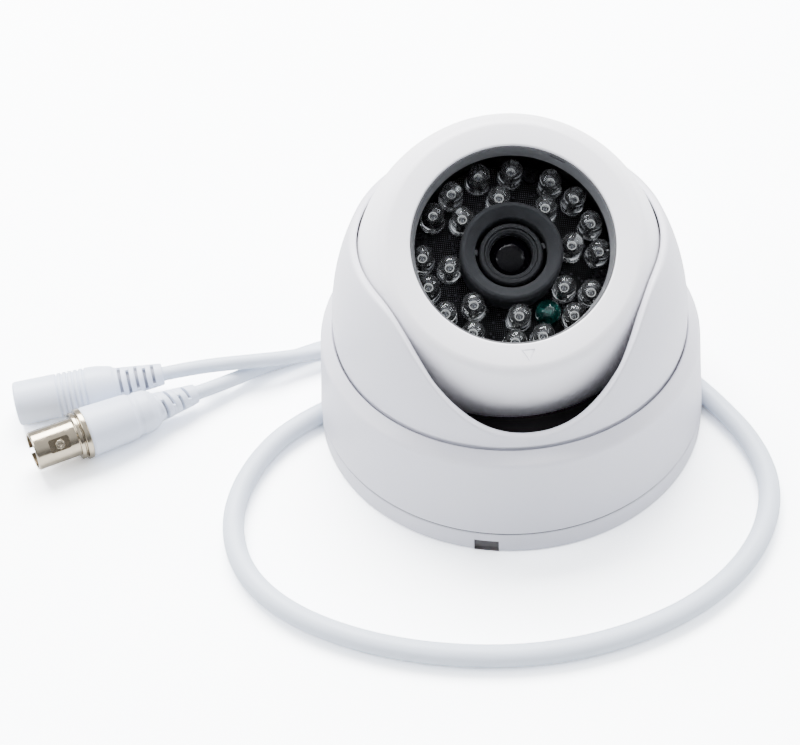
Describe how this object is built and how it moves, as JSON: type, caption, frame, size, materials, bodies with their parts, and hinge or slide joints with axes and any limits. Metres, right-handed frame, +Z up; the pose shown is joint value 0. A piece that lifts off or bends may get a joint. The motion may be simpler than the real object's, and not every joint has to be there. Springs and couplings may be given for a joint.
{
  "type": "dome cctv camera",
  "caption": "Eyeball dome camera on a round base: ball tilts in a shroud that pans on the cover, infrared ring around a lens, looped lead with power and video jacks.",
  "frame": {"origin": "centre of the base plate's mounting face on the floor, measured without the cords", "axes": "+Z up away from the mounting face; -Y is the direction the lens faces at rest; +X is the tilt axis"},
  "size_m": [0.1807, 0.125, 0.0768],
  "materials": {
    "housing": "white moulded housing",
    "inner_plastic": "dark moulded",
    "window": "clear cover window",
    "lens_glass": "coated glass",
    "screws": "plated",
    "rubber": "matt",
    "grommet_white": "matt",
    "led_board": "black solder mask",
    "board": "green solder mask",
    "led": "infrared diode, glossy",
    "light_sensor": "tinted",
    "sensor_chip": "chip",
    "barrel": "black anodised",
    "brass": "plain",
    "nickel": "warm nickel plate",
    "cable": "white cable jacket",
    "moulding": "white moulded connector",
    "connector_plastic": "ivory"
  },
  "bodies": {
    "base": {"base_plate": "housing", "lower_cover": "housing", "cover_screws": "screws", "pan_frame": "inner_plastic", "pan_friction_ring": "rubber", "frame_screws": "screws", "cable_grommet": "grommet_white", "cable_clamp": "inner_plastic", "clamp_screws": "screws", "inner_lead": "cable", "lead_plug": "connector_plastic", "main_cable": "cable", "power_pigtail": "cable", "video_pigtail": "cable", "y_splitter": "moulding", "dc_jack_body": "moulding", "dc_jack_sleeve": "nickel", "dc_jack_pin": "nickel", "bnc_barrel": "nickel", "bnc_insulator": "moulding", "bnc_contact": "brass", "bnc_overmold": "moulding"},
    "shroud": {"shroud": "housing", "ball_seat_ring": "inner_plastic", "ball_friction_ring": "rubber", "seat_screws": "screws"},
    "eyeball": {"ball_front_shell": "housing", "ball_rear_shell": "housing", "shell_screws": "screws", "lead_grommet": "rubber", "window_ring": "inner_plastic", "window": "window", "window_gasket": "rubber", "led_shade": "inner_plastic", "led_board": "led_board", "ir_leds": "led", "light_sensor": "light_sensor", "lens_foam_ring": "rubber", "board_clamp_ring": "inner_plastic", "clamp_ring_screws": "screws", "sensor_board": "board", "standoffs": "brass", "board_screws": "screws", "image_sensor": "sensor_chip", "board_connectors": "connector_plastic", "board_link_header": "connector_plastic", "lens_holder": "inner_plastic", "ir_filter": "lens_glass"},
    "lens": {"lens_barrel": "barrel", "lens_front_glass": "lens_glass", "lens_retainer": "barrel", "lens_rear_glass": "lens_glass"}
  },
  "joints": [
    {"name": "pan", "type": "hinge", "parent": "base", "child": "shroud", "pos_m": [0, 0, 0.025], "axis": [0, 0, 1], "range_deg": [-175, 175]},
    {"name": "tilt", "type": "hinge", "parent": "shroud", "child": "eyeball", "pos_m": [0, 0, 0.0446], "axis": [1, 0, 0], "range_deg": [-32, 43]},
    {"name": "lens_focus", "type": "hinge", "parent": "eyeball", "child": "lens", "pos_m": [0, 0, 0.0446], "axis": [0, -0.5299, 0.848], "range_deg": [-90, 90]}
  ]
}
